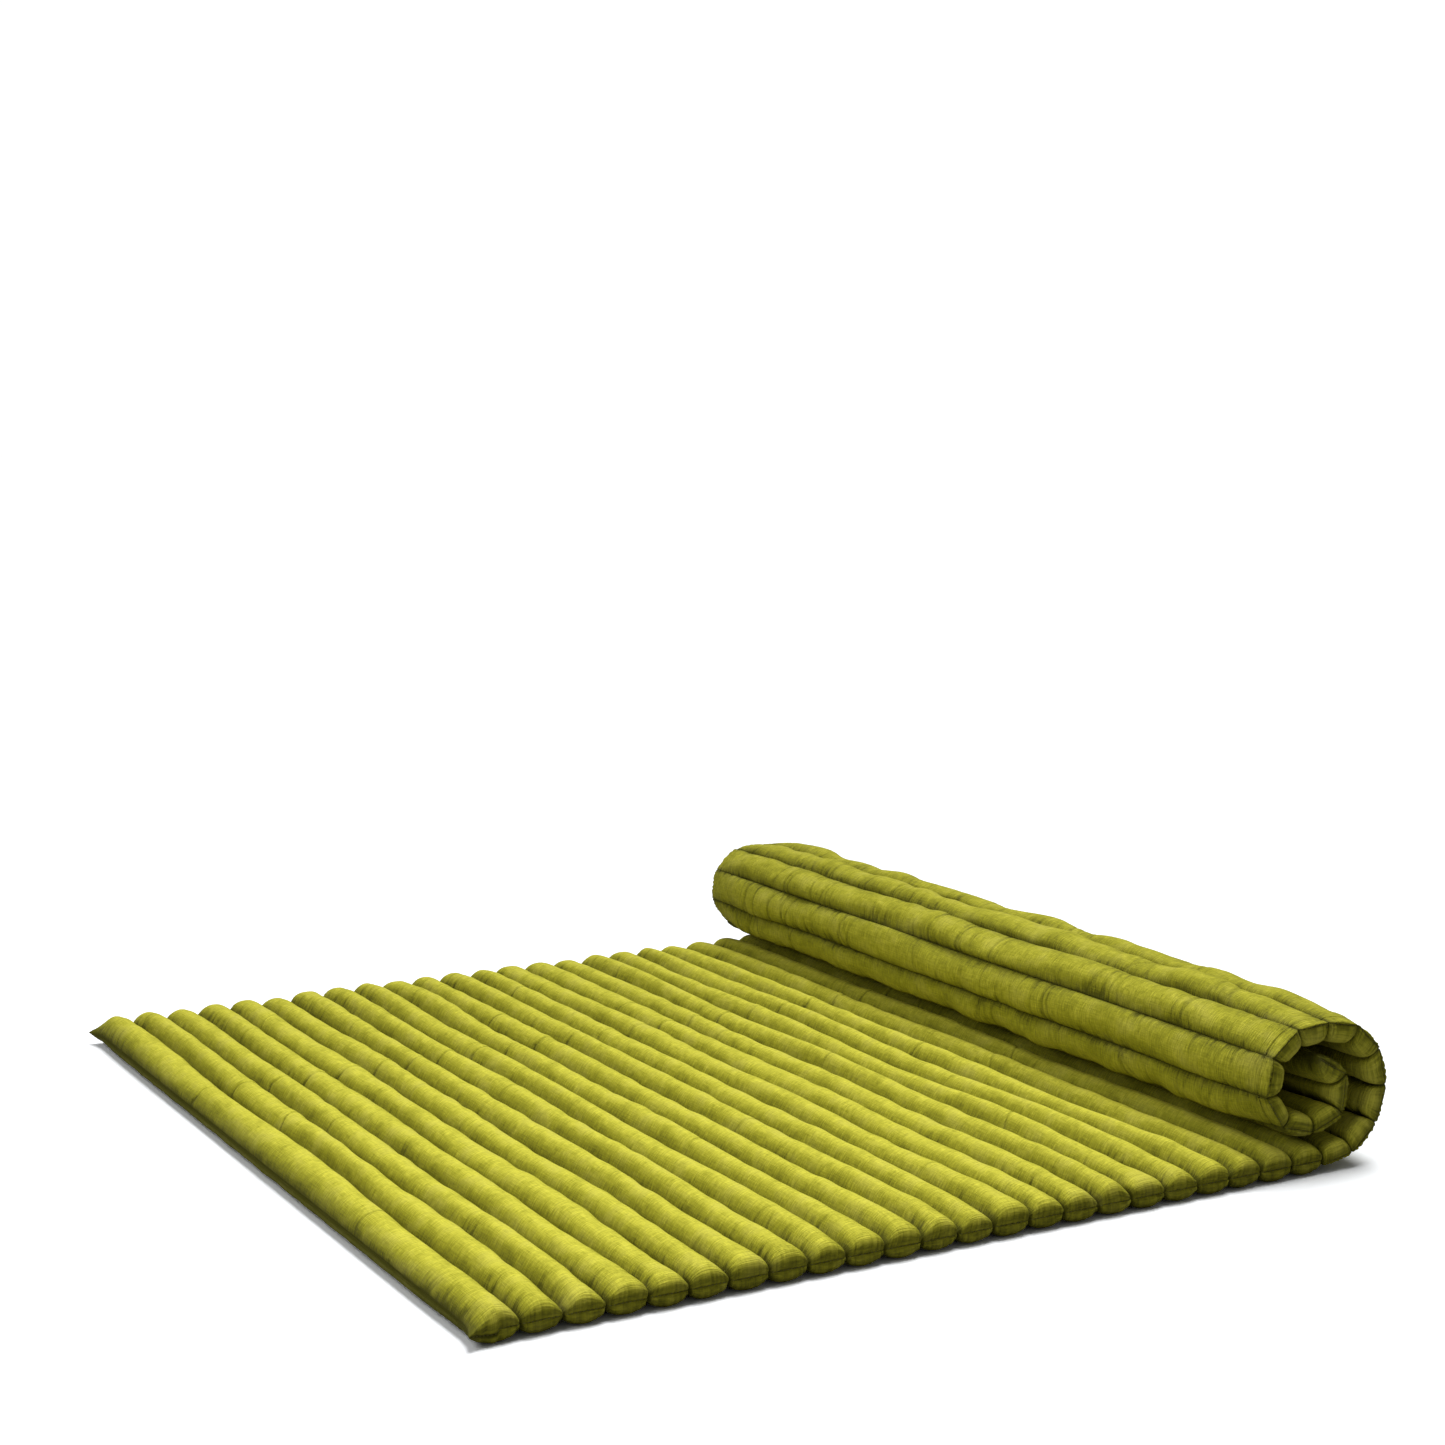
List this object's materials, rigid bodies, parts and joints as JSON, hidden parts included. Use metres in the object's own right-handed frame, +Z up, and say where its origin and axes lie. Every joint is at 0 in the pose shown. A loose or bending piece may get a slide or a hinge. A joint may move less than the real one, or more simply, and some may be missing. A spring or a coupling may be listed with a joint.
{
  "type": "futon mattress",
  "caption": "Roll-up floor mattress of stuffed cloth tubes sewn side by side, lying part flat and part rolled up on itself.",
  "frame": {"origin": "on the floor under the middle of the flat part: centre of tube_12's underside, half way along the tube", "axes": "+X along the mattress from its free edge towards the roll; +Y along the tubes; +Z up"},
  "size_m": [1.3099, 1.45, 0.2118],
  "materials": {
    "cover_cloth": "matte slub-woven cotton, yellow-green"
  },
  "bodies": {
    "tube_01": {"tube_01": "cover_cloth"},
    "tube_02": {"tube_02": "cover_cloth"},
    "tube_03": {"tube_03": "cover_cloth"},
    "tube_04": {"tube_04": "cover_cloth"},
    "tube_05": {"tube_05": "cover_cloth"},
    "tube_06": {"tube_06": "cover_cloth"},
    "tube_07": {"tube_07": "cover_cloth"},
    "tube_08": {"tube_08": "cover_cloth"},
    "tube_09": {"tube_09": "cover_cloth"},
    "tube_10": {"tube_10": "cover_cloth"},
    "tube_11": {"tube_11": "cover_cloth"},
    "tube_12": {"tube_12": "cover_cloth"},
    "tube_13": {"tube_13": "cover_cloth"},
    "tube_14": {"tube_14": "cover_cloth"},
    "tube_15": {"tube_15": "cover_cloth"},
    "tube_16": {"tube_16": "cover_cloth"},
    "tube_17": {"tube_17": "cover_cloth"},
    "tube_18": {"tube_18": "cover_cloth"},
    "tube_19": {"tube_19": "cover_cloth"},
    "tube_20": {"tube_20": "cover_cloth"},
    "tube_21": {"tube_21": "cover_cloth"},
    "tube_22": {"tube_22": "cover_cloth"},
    "tube_23": {"tube_23": "cover_cloth"},
    "tube_24": {"tube_24": "cover_cloth"},
    "tube_25": {"tube_25": "cover_cloth"},
    "tube_26": {"tube_26": "cover_cloth"},
    "tube_27": {"tube_27": "cover_cloth"},
    "tube_28": {"tube_28": "cover_cloth"},
    "tube_29": {"tube_29": "cover_cloth"},
    "tube_30": {"tube_30": "cover_cloth"},
    "tube_31": {"tube_31": "cover_cloth"},
    "tube_32": {"tube_32": "cover_cloth"},
    "tube_33": {"tube_33": "cover_cloth"},
    "tube_34": {"tube_34": "cover_cloth"},
    "tube_35": {"tube_35": "cover_cloth"},
    "tube_36": {"tube_36": "cover_cloth"},
    "tube_37": {"tube_37": "cover_cloth"}
  },
  "joints": [
    {"name": "seam_01_02", "type": "hinge", "parent": "tube_02", "child": "tube_01", "pos_m": [-0.546, 0, 0.012], "axis": [0, 1, 0], "range_deg": [0, 17.6]},
    {"name": "seam_02_03", "type": "hinge", "parent": "tube_03", "child": "tube_02", "pos_m": [-0.494, 0, 0.012], "axis": [0, 1, 0], "range_deg": [0, 17.6]},
    {"name": "seam_03_04", "type": "hinge", "parent": "tube_04", "child": "tube_03", "pos_m": [-0.442, 0, 0.012], "axis": [0, 1, 0], "range_deg": [0, 16.69]},
    {"name": "seam_04_05", "type": "hinge", "parent": "tube_05", "child": "tube_04", "pos_m": [-0.39, 0, 0.012], "axis": [0, 1, 0], "range_deg": [0, 4.15]},
    {"name": "seam_05_06", "type": "hinge", "parent": "tube_06", "child": "tube_05", "pos_m": [-0.338, 0, 0.012], "axis": [0, 1, 0], "range_deg": [0, 12.13]},
    {"name": "seam_06_07", "type": "hinge", "parent": "tube_07", "child": "tube_06", "pos_m": [-0.286, 0, 0.012], "axis": [0, 1, 0], "range_deg": [0, 20.7]},
    {"name": "seam_07_08", "type": "hinge", "parent": "tube_08", "child": "tube_07", "pos_m": [-0.234, 0, 0.012], "axis": [0, 1, 0], "range_deg": [0, 20.7]},
    {"name": "seam_08_09", "type": "hinge", "parent": "tube_09", "child": "tube_08", "pos_m": [-0.182, 0, 0.012], "axis": [0, 1, 0], "range_deg": [0, 20.7]},
    {"name": "seam_09_10", "type": "hinge", "parent": "tube_10", "child": "tube_09", "pos_m": [-0.13, 0, 0.012], "axis": [0, 1, 0], "range_deg": [0, 20.7]},
    {"name": "seam_10_11", "type": "hinge", "parent": "tube_11", "child": "tube_10", "pos_m": [-0.078, 0, 0.012], "axis": [0, 1, 0], "range_deg": [0, 20.7]},
    {"name": "seam_11_12", "type": "hinge", "parent": "tube_12", "child": "tube_11", "pos_m": [-0.026, 0, 0.012], "axis": [0, 1, 0], "range_deg": [0, 20.7]},
    {"name": "seam_12_13", "type": "hinge", "parent": "tube_12", "child": "tube_13", "pos_m": [0.026, 0, 0.012], "axis": [0, -1, 0], "range_deg": [0, 20.7]},
    {"name": "seam_13_14", "type": "hinge", "parent": "tube_13", "child": "tube_14", "pos_m": [0.078, 0, 0.012], "axis": [0, -1, 0], "range_deg": [0, 19.09]},
    {"name": "seam_14_15", "type": "hinge", "parent": "tube_14", "child": "tube_15", "pos_m": [0.13, 0, 0.012], "axis": [0, -1, 0], "range_deg": [0, 4.15]},
    {"name": "seam_15_16", "type": "hinge", "parent": "tube_15", "child": "tube_16", "pos_m": [0.182, 0, 0.012], "axis": [0, -1, 0], "range_deg": [0, 16.29]},
    {"name": "seam_16_17", "type": "hinge", "parent": "tube_16", "child": "tube_17", "pos_m": [0.234, 0, 0.012], "axis": [0, -1, 0], "range_deg": [0, 25.14]},
    {"name": "seam_17_18", "type": "hinge", "parent": "tube_17", "child": "tube_18", "pos_m": [0.286, 0, 0.012], "axis": [0, -1, 0], "range_deg": [0, 25.14]},
    {"name": "seam_18_19", "type": "hinge", "parent": "tube_18", "child": "tube_19", "pos_m": [0.338, 0, 0.012], "axis": [0, -1, 0], "range_deg": [0, 25.14]},
    {"name": "seam_19_20", "type": "hinge", "parent": "tube_19", "child": "tube_20", "pos_m": [0.39, 0, 0.012], "axis": [0, -1, 0], "range_deg": [0, 25.14]},
    {"name": "seam_20_21", "type": "hinge", "parent": "tube_20", "child": "tube_21", "pos_m": [0.442, 0, 0.012], "axis": [0, -1, 0], "range_deg": [0, 25.14]},
    {"name": "seam_21_22", "type": "hinge", "parent": "tube_21", "child": "tube_22", "pos_m": [0.494, 0, 0.012], "axis": [0, -1, 0], "range_deg": [0, 25.14]},
    {"name": "seam_22_23", "type": "hinge", "parent": "tube_22", "child": "tube_23", "pos_m": [0.546, 0, 0.012], "axis": [0, -1, 0], "range_deg": [0, 12.57]},
    {"name": "seam_23_24", "type": "hinge", "parent": "tube_23", "child": "tube_24", "pos_m": [0.598, 0, 0.012], "axis": [0, -1, 0], "range_deg": [-9.52, 0]},
    {"name": "seam_24_25", "type": "hinge", "parent": "tube_24", "child": "tube_25", "pos_m": [0.64928, 0, 0.0206], "axis": [0, -1, 0], "range_deg": [-31.16, 0]},
    {"name": "seam_25_26", "type": "hinge", "parent": "tube_25", "child": "tube_26", "pos_m": [0.68872, 0, 0.05449], "axis": [0, -1, 0], "range_deg": [-32.03, 0]},
    {"name": "seam_26_27", "type": "hinge", "parent": "tube_26", "child": "tube_27", "pos_m": [0.70417, 0, 0.10414], "axis": [0, -1, 0], "range_deg": [-32.03, 0]},
    {"name": "seam_27_28", "type": "hinge", "parent": "tube_27", "child": "tube_28", "pos_m": [0.69094, 0, 0.15443], "axis": [0, -1, 0], "range_deg": [-32.03, 0]},
    {"name": "seam_28_29", "type": "hinge", "parent": "tube_28", "child": "tube_29", "pos_m": [0.65306, 0, 0.19004], "axis": [0, -1, 0], "range_deg": [-31.66, 0]},
    {"name": "seam_29_30", "type": "hinge", "parent": "tube_29", "child": "tube_30", "pos_m": [0.60211, 0, 0.20048], "axis": [0, -1, 0], "range_deg": [-14.66, 0]},
    {"name": "seam_30_31", "type": "hinge", "parent": "tube_30", "child": "tube_31", "pos_m": [0.55019, 0, 0.19768], "axis": [0, -1, 0], "range_deg": [-34.54, 0]},
    {"name": "seam_31_32", "type": "hinge", "parent": "tube_31", "child": "tube_32", "pos_m": [0.509, 0, 0.16593], "axis": [0, -1, 0], "range_deg": [-42.97, 0]},
    {"name": "seam_32_33", "type": "hinge", "parent": "tube_32", "child": "tube_33", "pos_m": [0.5005, 0, 0.11463], "axis": [0, -1, 0], "range_deg": [-42.97, 0]},
    {"name": "seam_33_34", "type": "hinge", "parent": "tube_33", "child": "tube_34", "pos_m": [0.52925, 0, 0.0713], "axis": [0, -1, 0], "range_deg": [-42.18, 0]},
    {"name": "seam_34_35", "type": "hinge", "parent": "tube_34", "child": "tube_35", "pos_m": [0.57965, 0, 0.0585], "axis": [0, -1, 0], "range_deg": [-33.84, 0]},
    {"name": "seam_35_36", "type": "hinge", "parent": "tube_35", "child": "tube_36", "pos_m": [0.62864, 0, 0.07593], "axis": [0, -1, 0], "range_deg": [-64.01, 0]},
    {"name": "seam_36_37", "type": "hinge", "parent": "tube_36", "child": "tube_37", "pos_m": [0.63445, 0, 0.12761], "axis": [0, -1, 0], "range_deg": [-66, 0]}
  ],
  "couplings": [
    {"joint": "seam_23_24", "follows": "seam_24_25", "ratio": 0.30537},
    {"joint": "seam_25_26", "follows": "seam_24_25", "ratio": 1.0279},
    {"joint": "seam_26_27", "follows": "seam_24_25", "ratio": 1.0279},
    {"joint": "seam_27_28", "follows": "seam_24_25", "ratio": 1.0279},
    {"joint": "seam_28_29", "follows": "seam_24_25", "ratio": 1.0158},
    {"joint": "seam_29_30", "follows": "seam_24_25", "ratio": 0.4703},
    {"joint": "seam_30_31", "follows": "seam_24_25", "ratio": 1.1084},
    {"joint": "seam_31_32", "follows": "seam_24_25", "ratio": 1.3789},
    {"joint": "seam_32_33", "follows": "seam_24_25", "ratio": 1.3789},
    {"joint": "seam_33_34", "follows": "seam_24_25", "ratio": 1.3536},
    {"joint": "seam_34_35", "follows": "seam_24_25", "ratio": 1.0859},
    {"joint": "seam_35_36", "follows": "seam_24_25", "ratio": 2.0539},
    {"joint": "seam_36_37", "follows": "seam_24_25", "ratio": 2.1179}
  ]
}
